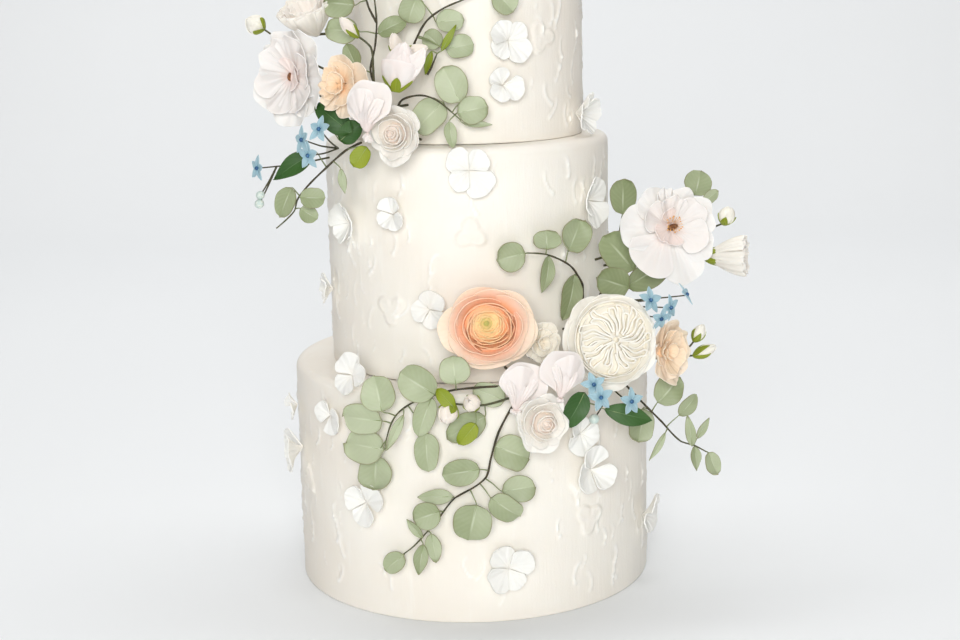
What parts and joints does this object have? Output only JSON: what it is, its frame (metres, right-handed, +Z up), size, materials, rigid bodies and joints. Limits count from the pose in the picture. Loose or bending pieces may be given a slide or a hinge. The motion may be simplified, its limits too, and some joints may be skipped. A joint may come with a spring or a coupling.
{
  "type": "tiered wedding cake",
  "caption": "Tall round wedding cake in ivory icing, with sugar flowers and eucalyptus leaves on its ledges and white petals on its sides.",
  "frame": {"origin": "middle of the flat underside of the bottom tier", "axes": "+Z up through the tiers, -Y to the front that carries the flowers, +X to the right as seen from the front"},
  "size_m": [0.3503, 0.2933, 0.494],
  "materials": {
    "icing": "smooth ivory sugar paste with a soft sheen and faint upright strokes",
    "white_petals": "thin matt white sugar paste",
    "ivory_petals": "thin matt ivory sugar paste",
    "blush_petals": "thin matt blush-white sugar paste, pinker at the heart",
    "peach_petals": "thin matt peach sugar paste, deeper at the heart and the edges",
    "blue_petals": "matt sky-blue sugar paste with dark blue beads",
    "sage_leaves": "satin sage green sugar paste with a pale midrib and a darker rim",
    "dark_leaves": "satin deep green sugar paste with pale veins",
    "lime_leaves": "satin yellow-green sugar paste"
  },
  "bodies": {
    "root": {"tier_bottom": "icing", "tier_middle": "icing", "tier_top": "icing", "flower_ranunculus": "peach_petals", "flower_sweet_pea_left": "blush_petals", "flower_cream_small": "ivory_petals", "flower_sweet_pea_right": "blush_petals", "flower_small_rose_lower": "blush_petals", "flower_garden_rose": "ivory_petals", "flower_open_right": "blush_petals", "flower_peach_right": "peach_petals", "flower_turned_right": "blush_petals", "spray_blue_lower": "blue_petals", "spray_blue_right": "blue_petals", "flower_open_left": "blush_petals", "flower_ruffled_top": "blush_petals", "flower_peach_left": "peach_petals", "flower_sweet_pea_upper": "blush_petals", "flower_small_rose_upper": "blush_petals", "flower_rosebud_upper": "blush_petals", "spray_blue_upper": "blue_petals", "spray_blue_left": "blue_petals", "bud_cream_right": "lime_leaves", "buds_green_right": "lime_leaves", "bud_round_left": "lime_leaves", "bud_blush_upper": "blush_petals", "buds_pale_upper": "blush_petals", "buds_pale_lower": "blush_petals", "leaves_left_branch": "sage_leaves", "leaves_hanging_branch": "sage_leaves", "leaves_behind_ranunculus": "sage_leaves", "leaves_top_right": "sage_leaves", "leaves_far_right": "sage_leaves", "leaves_right_branch": "sage_leaves", "leaves_dark_lower": "dark_leaves", "leaves_trailing": "sage_leaves", "leaves_dark_upper": "dark_leaves", "leaves_upper_right": "sage_leaves", "leaves_upper_main": "sage_leaves", "leaves_upper_arc": "sage_leaves", "leaves_lime_upper": "lime_leaves", "petals_top_a": "white_petals", "petals_top_b": "white_petals", "petals_top_c": "white_petals", "petals_middle_a": "white_petals", "petals_middle_b": "white_petals", "petals_middle_c": "white_petals", "petals_middle_d": "white_petals", "petals_middle_e": "white_petals", "petals_middle_f": "white_petals", "petals_ledge": "white_petals", "petals_bottom_a": "white_petals", "petals_bottom_b": "white_petals", "petals_bottom_c": "white_petals", "petals_bottom_d": "white_petals", "petals_bottom_e": "white_petals", "petals_bottom_f": "white_petals", "petals_bottom_h": "white_petals", "petals_bottom_g": "white_petals"}
  },
  "joints": []
}
